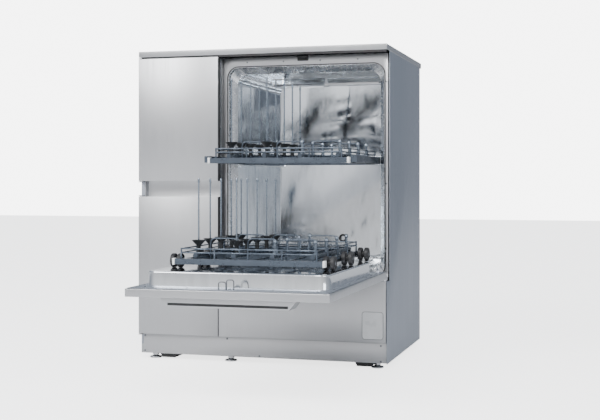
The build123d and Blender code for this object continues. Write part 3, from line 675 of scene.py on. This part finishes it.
# ---------------------------------------------------------------- sub-assemblies
@dataclass
class Cabinet:
    """The standing cabinet: sheets, chamber, feet and machinery."""

    finishes: Finishes
    edge: float = 0.8 * MM
    own_edges: dict[str, float] = field(
        default_factory=lambda: {"worktop": 1.6 * MM, "lower_fascia": 1.4 * MM, "back_panel": 0.5 * MM}
    )
    sole: float = 0.5 * MM
    label_corner: float = 9 * MM
    label_line: float = 1.4 * MM
    seam: float = 6 * MM
    slot_z: float = 355 * MM
    hole_z: float = 381 * MM
    plate_y: tuple[float, float] = (200 * MM, 400 * MM)
    plate_z: tuple[float, float] = (800 * MM, 900 * MM)
    plate_t: float = 1.5 * MM
    plate_margin: float = 15 * MM

    def sheets(self) -> None:
        """Finishes the sheet metal that shows."""
        finish = self.finishes
        plans = (
            ("front_steel", finish.front, ("worktop", "plinth_panel", "lower_fascia", "grip_channel")),
            ("side_steel", finish.side, ("side_panel_left", "side_panel_right", "centre_partition")),
            ("galvanised_steel", finish.zinc, ("back_panel", "base_frame", "control_box")),
            ("polished_steel", finish.mirror, ("chamber_shell", "chamber_rails", "sump")),
            ("bright_steel", finish.bright, ("sump_filter", "spray_arm_shafts")),
            ("bright_steel", finish.bright, ("column_door_pins", "door_hinge_pins")),
            ("black_plastic", finish.black, ("door_lock", "docking_ports", "castor_housings")),
            ("black_plastic", finish.black, ("drain_pump", "drying_blower")),
            ("machinery_grey", finish.cast, ("wash_pump", "heater", "dosing_pumps")),
            ("white_plastic", finish.white, ("water_valves",)),
        )
        for slot, material, nodes in plans:
            for node in nodes:
                refined(node, Body.CABINET.value, slot, material, self.own_edges.get(node, self.edge))
        # faces behind the lock's face, the rolled flange, take the near-white finish: painted highlight
        flange_start = corners("door_lock")[1].y + 2.2 * MM
        flange_highlight = Patch(finish.flange_highlight, lambda middle, normal: middle.y > flange_start)
        refined("chamber_front_frame", Body.CABINET.value, "front_steel", finish.front, self.edge, flange_highlight)

    def feet(self) -> None:
        """Turns the levelling feet: pad, neck, nut and thread."""
        shape = Shaper()
        profile = in_mm([
            (0, 0), (18.5, 0), (19.6, 0.8), (20, 2), (20, 3.6), (19, 5), (13.5, 6), (10.5, 7.5),
            (8.5, 9), (6, 9.6), (6, 17.5), (5.5, 18), (0, 18),
        ])
        nut_r, nut_low, nut_high = 11 * MM, Vector((0, 0, 10.5 * MM)), Vector((0, 0, 16 * MM))
        for points in loose_parts("levelling_feet"):
            sole = [point for point in points if point.z < self.sole]
            middle = sum(sole, Vector()) / len(sole)
            base = Vector((middle.x, middle.y, 0))
            shape.lathe(base, UP, profile, 28)
            shape.rod(base + nut_low, base + nut_high, nut_r, sides=6)
        shape.done("turned_feet", Body.CABINET.value, "bright_steel", self.finishes.bright, "levelling_feet")

    def castors(self) -> None:
        """Turns the two transport wheels."""
        for side in ("left", "right"):
            node = f"castor_wheel_{side}"
            low, high = corners(node)
            middle, wide, radius = (low + high) / 2, (high.x - low.x) / 2, (high.z - low.z) / 2
            web, rim = wide * 0.8, radius - 3 * MM
            half = [
                (radius, web), (radius - MM, wide), (rim, wide), (rim, web), (7 * MM, web),
                (6 * MM, wide), (3.1 * MM, wide),
            ]
            shape = Shaper()
            shape.lathe(middle, (1, 0, 0), mirrored(half), 32)
            shape.done(f"{node}_turned", node, "black_rubber", self.finishes.rubber, node)

    def gasket(self) -> None:
        """Dresses the door seal on the chamber frame."""
        refined("door_gasket", Body.CABINET.value, "black_rubber", self.finishes.rubber, 1.1 * MM)

    def screws(self) -> None:
        """Replaces the plain screw heads by crossed ones."""
        crossed_screws("cabinet_screws", Body.CABINET.value, (0, -1, 0), self.finishes.screw)

    def connectors(self) -> None:
        """Finishes the water connectors at the back."""
        refined("rear_connectors", Body.CABINET.value, "bright_steel", self.finishes.bright, 0.6 * MM)

    def label(self) -> None:
        """Lays the blank label with its printed border."""
        low, high = corners("label_plate")
        middle = Vector(((low.x + high.x) / 2, high.y, (low.z + high.z) / 2))
        size = (high.x - low.x, high.z - low.z)
        film = Shaper()
        film.plate(middle, size, self.label_corner, (0, -0.55 * MM, 0))
        film.done("label_film", Body.CABINET.value, "label_film", self.finishes.label, "label_plate")
        border = Shaper()
        border.rule(middle, size, self.label_corner, self.label_line, (0, low.y - high.y, 0))
        border.done("label_border", Body.CABINET.value, "label_film", self.finishes.rule)

    def seams(self) -> None:
        """Puts black strips a little behind the front into the gaps between the front sheets, as painted
        shadow in the gaps, and a thin dark plate on the column's right face as painted shade.
        """
        fascia_low, fascia_high = corners("lower_fascia")
        split, face, sill = fascia_low.x, fascia_low.y, fascia_high.z
        left, right = corners("worktop")[0].x, corners("worktop")[1].x
        top = corners("worktop")[0].z
        lower, upper = corners("lower_column_door")[1].z, corners("upper_column_door")[0].z
        # black strips behind the seams: painted shadow in the gaps
        seam_shadow = Shaper()
        seam_shadow.box((left + 4 * MM, face + 3 * MM, top - self.seam), (right - 4 * MM, face + 16 * MM, top), 0)
        for bottom, ceiling in ((fascia_low.z, lower), (upper, top - self.seam)):
            seam_shadow.box(
                (split - 2.8 * MM, face + 4 * MM, bottom), (split - 0.2 * MM, face + 17 * MM, ceiling), 0,
            )
        seam_shadow.done("seam_painted_shadow", Body.CABINET.value, "black_rubber", self.finishes.rubber)
        # a thin dark plate on the column's right face: painted shade for that face
        side_shade = Shaper()
        side_shade.box(
            (split, face + 24 * MM, sill + 2 * MM),
            (split + 0.8 * MM, face + 45 * MM, top - 7 * MM), 0.2 * MM,
        )
        side_shade.done("column_side_painted_shade", Body.CABINET.value, "black_rubber", self.finishes.rule)

    def frame_marks(self) -> None:
        """Adds the slot and hole of the front frame by the hinge as thin black plates, painted shade for
        their hollows, and the chamber's side plate.
        """
        face = corners("door_lock")[1].y
        column = corners("chamber_front_frame")[1].x - 9 * MM
        depth = (0, -0.4 * MM, 0)
        # black plates in place of the slot and hole: painted shade for their hollows
        marks = Shaper()
        marks.plate((column, face, self.slot_z), (5 * MM, 32 * MM), 2.4 * MM, depth)
        marks.plate((column, face, self.hole_z), (7 * MM, 7 * MM), 3.4 * MM, depth)
        marks.done("frame_slots_painted_shade", Body.CABINET.value, "black_plastic", self.finishes.black)
        wall = corners("chamber_shell")[1].x - 2 * MM
        inner, margin = wall - self.plate_t, self.plate_margin
        plate = Shaper()
        plate.box((inner, self.plate_y[0], self.plate_z[0]), (wall, self.plate_y[1], self.plate_z[1]))
        stud = in_mm([(0, 0), (4, 0), (3, 1.6), (0, 2)])
        for z in (self.plate_z[0] + margin, self.plate_z[1] - margin):
            for y in (self.plate_y[0] + margin, self.plate_y[1] - margin):
                plate.lathe((inner, y, z), (-1, 0, 0), stud, 12)
        plate.done("chamber_plate", Body.CABINET.value, "side_steel", self.finishes.side)

    def build(self) -> None:
        """Builds the whole cabinet."""
        self.sheets()
        self.label()
        self.seams()
        self.frame_marks()
        self.feet()
        self.castors()
        self.gasket()
        self.screws()
        self.connectors()


@dataclass
class ColumnDoors:
    """The two service doors of the left column."""

    finishes: Finishes

    def build(self) -> None:
        """Finishes both doors."""
        for node in ("upper_column_door", "lower_column_door"):
            refined(node, node, "front_steel", self.finishes.front, 1.4 * MM)


@dataclass
class SprayArms:
    """The two rotating arms in the chamber."""

    finishes: Finishes

    def build(self) -> None:
        """Finishes both arms."""
        for node in ("bottom_spray_arm", "top_spray_arm"):
            refined(node, node, "bright_steel", self.finishes.bright, 1.2 * MM)


@dataclass
class MainDoor:
    """The drop-down door, open, with its liner, handle and strikers."""

    finishes: Finishes
    handle_end: float = 23 * MM
    striker_width: float = 23 * MM
    striker_step: float = 6 * MM
    striker_bend: float = 6 * MM
    striker_r: float = 1.5 * MM

    def panels(self) -> None:
        """Finishes the panel, liner, handle and arms."""
        finish, body = self.finishes, Body.DOOR.value
        refined("door_outer_panel", body, "front_steel", finish.front, 1.6 * MM)
        ledge = corners("door_outer_panel")[1].z + 2.5 * MM
        satin = Patch(finish.side, lambda middle, normal: middle.z < ledge)
        refined("door_inner_liner", body, "polished_steel", finish.mirror, 0.8 * MM, satin)
        refined("door_handle", body, "front_steel", finish.front, 0.8 * MM)
        refined("door_hinge_arms", body, "bright_steel", finish.bright, 0.6 * MM)
        low, high = corners("door_handle")
        left, right = low.x + self.handle_end, high.x - self.handle_end
        grip = Shaper()
        grip.box((left, low.y - 0.4 * MM, low.z + 5 * MM), (right, low.y, low.z + 12 * MM), 0.1 * MM)
        grip.done("handle_shadow_strip", body, "black_plastic", finish.black)

    def strikers(self) -> None:
        """Bends the two wire loops that the lock catches, the left one lower."""
        low, high = corners("door_strikers")
        tall, radius, bend = high.z - low.z, self.striker_r, self.striker_bend
        turn = ((0, 1, 0), bend, pi / 2)
        across = (self.striker_width - 2 * radius - 2 * bend,)
        shape = Shaper()
        for x, height in ((low.x, tall - self.striker_step), (high.x - self.striker_width, tall)):
            leg = (height - radius - bend,)
            foot = Vector((x + radius, (low.y + high.y) / 2, low.z))
            shape.wire(foot, UP, [leg, turn, across, turn, leg], radius, 10)
        shape.done("wire_strikers", Body.DOOR.value, "bright_steel", self.finishes.screw, "door_strikers")

    def build(self) -> None:
        """Builds the whole door."""
        self.panels()
        self.strikers()
        crossed_screws("door_screws", Body.DOOR.value, UP, self.finishes.screw)


@dataclass
class Rack:
    """One draw-out injector rack."""

    finishes: Finishes
    level: Level
    tube: float = 16 * MM
    tall_columns: tuple[float, float] = (-165 * MM, -51 * MM)
    short_columns: tuple[float, float] = (62 * MM, 179 * MM)
    first_row: float = 58 * MM
    tall_rows: tuple[int, float] = (5, 92 * MM)
    short_rows: tuple[int, float] = (4, 120 * MM)
    pipe_r: float = 7 * MM
    cone_seat: float = 3 * MM
    jet_r: float = 2.25 * MM

    def __post_init__(self) -> None:
        """Reads the rack's place from the frame."""
        self.body = f"{self.level.value}_rack"
        low, high = corners(f"{self.body}_frame")
        self.front = low.y
        self.middle = (low.x + high.x) / 2
        deck = corners(f"{self.body}_caps")[0].z + MM + self.tube
        self.cone_z = deck + self.pipe_r + self.pipe_r - self.cone_seat

    def spots(self, columns: tuple[float, float], rows: tuple[int, float]) -> list[tuple[float, float]]:
        """Places of a grid of jets.

        Args:
            columns: Offsets of the columns from the rack's middle.
            rows: Count and pitch of the rows.

        Returns:
            The x and y of each jet.
        """
        return [
            (self.middle + column, self.front + self.first_row + row * rows[1])
            for column in columns for row in range(rows[0])
        ]

    def structure(self) -> None:
        """Finishes the welded frame."""
        refined(f"{self.body}_frame", self.body, "rack_steel", self.finishes.rack, 0)

    def caps(self) -> None:
        """Finishes the white end caps."""
        refined(f"{self.body}_caps", self.body, "white_plastic", self.finishes.white, 1.2 * MM)

    def pipes(self) -> None:
        """Finishes the water pipes."""
        refined(f"{self.body}_manifold", self.body, "rack_steel", self.finishes.rack, 0)

    def jets(self) -> None:
        """Turns the tall jets with their tips and the short nozzles with their heads."""
        foot = corners(f"{self.body}_cones")[1].z
        tip, radius = corners(f"{self.body}_jets")[1].z - foot, self.jet_r
        tall = [
            (0, -13 * MM), (radius, -13 * MM), (radius, tip - 14 * MM), (radius * 1.4, tip - 12 * MM),
            (radius * 1.4, tip - 3 * MM), (radius * 0.7, tip), (0, tip),
        ]
        short = in_mm([
            (0, 0), (6, 0), (6, 6), (4, 8), (4, 33), (6, 35), (6, 38), (5, 40), (5, 42), (2.5, 44), (0, 44),
        ])
        shape = Shaper()
        for x, y in self.spots(self.tall_columns, self.tall_rows):
            shape.lathe((x, y, foot), UP, tall, 12)
        for x, y in self.spots(self.short_columns, self.short_rows):
            shape.lathe((x, y, self.cone_z), UP, short, 18)
        name = f"{self.level.value}_turned_jets"
        shape.done(name, self.body, "jet_steel", self.finishes.jet, f"{self.body}_jets")

    def cones(self) -> None:
        """Turns the black holding cups, hollow from above."""
        low, high = corners(f"{self.body}_cones")
        rim = (high.z - low.z) / MM
        cup = in_mm([
            (4.4, 0), (6, 0), (6, rim - 16.6), (7, rim - 15), (19.6, rim - 1.6), (20.5, rim), (18.4, rim),
            (17.6, rim - 1.6), (5.6, rim - 13), (2.4, rim - 13), (2.4, rim - 14), (4.4, rim - 14), (4.4, 0),
        ])
        shape = Shaper()
        for x, y in self.spots(self.tall_columns, self.tall_rows):
            shape.lathe((x, y, self.cone_z), UP, cup, 24)
        name = f"{self.level.value}_cups"
        shape.done(name, self.body, "black_plastic", self.finishes.black, f"{self.body}_cones")

    def build(self) -> None:
        """Builds the whole rack."""
        self.structure()
        self.caps()
        self.pipes()
        self.jets()
        self.cones()


@dataclass
class Rollers:
    """The six double rollers under the lower rack."""

    finishes: Finishes
    gap: float = 4 * MM
    lean: float = 0.999
    hub: float = 9 * MM
    rounding: float = 1.5 * MM
    dish: float = 2 * MM

    def build(self) -> None:
        """Turns each roller as two treaded discs on a hub."""
        gap, hub, soft = self.gap, self.hub, self.rounding
        for side in ("left", "right"):
            for number in (1, 2, 3):
                node = f"rack_roller_{side}_{number}"
                low, high = corners(node)
                middle, wide, radius = (low + high) / 2, (high.x - low.x) / 2, (high.z - low.z) / 2
                floor = wide - self.dish
                half = [
                    (hub, gap * self.lean), (radius - soft, gap), (radius, gap + soft), (radius, wide - soft),
                    (radius - soft, wide), (radius - 5 * MM, wide), (radius - 6.5 * MM, floor), (hub, floor),
                    (8 * MM, wide), (4.1 * MM, wide),
                ]
                shape = Shaper()
                shape.lathe(middle, (1, 0, 0), mirrored(half), 36)
                shape.done(f"{node}_turned", node, "black_rubber", self.finishes.rubber, node)


@dataclass
class Studio:
    """Pale floor, soft lights and the camera."""

    eye: Vector = field(default_factory=lambda: Vector((1.125, -3.374, 0.5949)))
    yaw: float = 16.07
    lens: float = 66.30
    rise: float = -0.0473
    floor_side: float = 14.0
    floor_glow: float = 2.6
    room_light: float = 1.5
    backdrop_light: float = 8.0

    def floor(self) -> None:
        """Lays the pale floor, lifted towards white for the camera alone."""
        bm = bmesh.new()
        bmesh.ops.create_grid(bm, x_segments=1, y_segments=1, size=self.floor_side)
        mesh = bpy.data.meshes.new("studio_floor")
        bm.to_mesh(mesh)
        bm.free()
        palette = Palette("pale_floor")
        palette.put("Base Color", palette.ramp(palette.noise(3.0), (0.90, 0.90, 0.90), (0.92, 0.92, 0.92)))
        palette.put("Roughness", 0.9)
        palette.put("Emission Color", (1.0, 1.0, 1.0, 1.0))
        lift = palette.nodes.new("ShaderNodeMath")
        lift.operation = "MULTIPLY"
        lift.inputs[1].default_value = self.floor_glow
        palette.links.new(palette.nodes.new("ShaderNodeLightPath").outputs["Is Camera Ray"], lift.inputs[0])
        palette.put("Emission Strength", lift.outputs["Value"])
        mesh.materials.append(palette.material)
        floor = bpy.data.objects.new("studio_floor", mesh)
        bpy.context.scene.collection.objects.link(floor)

    def light(
        self, name: str, place: tuple, aim: tuple, size: float, power: float, color: tuple = (1, 1, 1),
    ) -> None:
        """Hangs a soft box.

        Args:
            name: The light's name.
            place: Where it hangs.
            aim: The point that it faces.
            size: Its side.
            power: Its power, in watts.
            color: Its colour.
        """
        data = bpy.data.lights.new(name, "AREA")
        data.energy, data.size, data.color = power, size, color
        lamp = bpy.data.objects.new(name, data)
        lamp.location = place
        lamp.rotation_euler = (Vector(aim) - Vector(place)).to_track_quat("-Z", "Y").to_euler()
        bpy.context.scene.collection.objects.link(lamp)

    def world(self) -> None:
        """Sets a room that is white to the camera and shaded front to back in the steel."""
        world = bpy.data.worlds.new("studio")
        bpy.context.scene.world = world
        world.use_nodes = True
        nodes, links = world.node_tree.nodes, world.node_tree.links
        room = nodes["Background"]
        coords = nodes.new("ShaderNodeTexCoord")
        axes = nodes.new("ShaderNodeSeparateXYZ")
        links.new(coords.outputs["Generated"], axes.inputs["Vector"])

        def ramp(axis: str, stops: tuple) -> bpy.types.NodeSocket:
            """Shades the room along one axis.

            Args:
                axis: The axis.
                stops: Pairs of place from -1 to 1 and colour.

            Returns:
                The colour socket.
            """
            scale = nodes.new("ShaderNodeMapRange")
            scale.inputs["From Min"].default_value = -1.0
            links.new(axes.outputs[axis], scale.inputs["Value"])
            node = nodes.new("ShaderNodeValToRGB")
            elements = node.color_ramp.elements
            while len(elements) < len(stops):
                elements.new(0.5)
            for element, (place, color) in zip(elements, stops):
                element.position = (place + 1) / 2
                element.color = (*color, 1.0)
            links.new(scale.outputs["Result"], node.inputs["Fac"])
            return node.outputs["Color"]

        height = ramp("Z", (
            (-1, (0.5, 0.5, 0.5)), (-0.02, (0.55, 0.55, 0.56)), (0.3, (0.78, 0.79, 0.8)), (0.8, (1, 1, 1)),
        ))
        depth = ramp("Y", (
            (-1, (1, 1, 1)), (-0.7, (0.85, 0.85, 0.86)), (-0.2, (0.5, 0.52, 0.56)), (0.9, (0.3, 0.33, 0.38)),
        ))
        shade = nodes.new("ShaderNodeMix")
        shade.data_type = "RGBA"
        shade.blend_type = "MULTIPLY"
        shade.inputs["Factor"].default_value = 1.0
        sockets = [socket for socket in shade.inputs if socket.type == "RGBA"]
        links.new(height, sockets[0])
        links.new(depth, sockets[1])
        links.new(next(socket for socket in shade.outputs if socket.type == "RGBA"), room.inputs["Color"])
        room.inputs["Strength"].default_value = self.room_light
        white = nodes.new("ShaderNodeBackground")
        white.inputs["Strength"].default_value = self.backdrop_light
        mix = nodes.new("ShaderNodeMixShader")
        links.new(nodes.new("ShaderNodeLightPath").outputs["Is Camera Ray"], mix.inputs["Fac"])
        links.new(room.outputs["Background"], mix.inputs[1])
        links.new(white.outputs["Background"], mix.inputs[2])
        links.new(mix.outputs["Shader"], nodes["World Output"].inputs["Surface"])

    def camera(self) -> None:
        """Places the camera."""
        data = bpy.data.cameras.new("studio_camera")
        data.sensor_width, data.lens, data.shift_y = 36.0, self.lens, self.rise
        camera = bpy.data.objects.new("studio_camera", data)
        camera.location = self.eye
        camera.rotation_euler = (radians(90), 0, radians(self.yaw))
        bpy.context.scene.collection.objects.link(camera)
        bpy.context.scene.camera = camera

    def build(self) -> None:
        """Sets up the whole studio."""
        self.floor()
        self.world()
        self.light("key", (-2.2, -3.0, 3.0), (0, 0, 0.6), 2.0, 130)
        self.light("fill", (3.4, -2.4, 1.6), (0, 0, 0.6), 1.6, 35, (0.92, 0.96, 1.0))
        self.light("chamber_glow", (0.3, -1.9, 2.1), (0.15, 0.3, 0.6), 0.8, 25)
        self.camera()


def main() -> None:
    """Builds the washer's sub-assemblies in order."""
    logging.basicConfig(level=logging.INFO)
    finishes = Finishes.mix()
    Cabinet(finishes).build()
    ColumnDoors(finishes).build()
    SprayArms(finishes).build()
    MainDoor(finishes).build()
    for level in Level:
        Rack(finishes, level).build()
    Rollers(finishes).build()
    Studio().build()


if __name__ == "__main__":
    main()
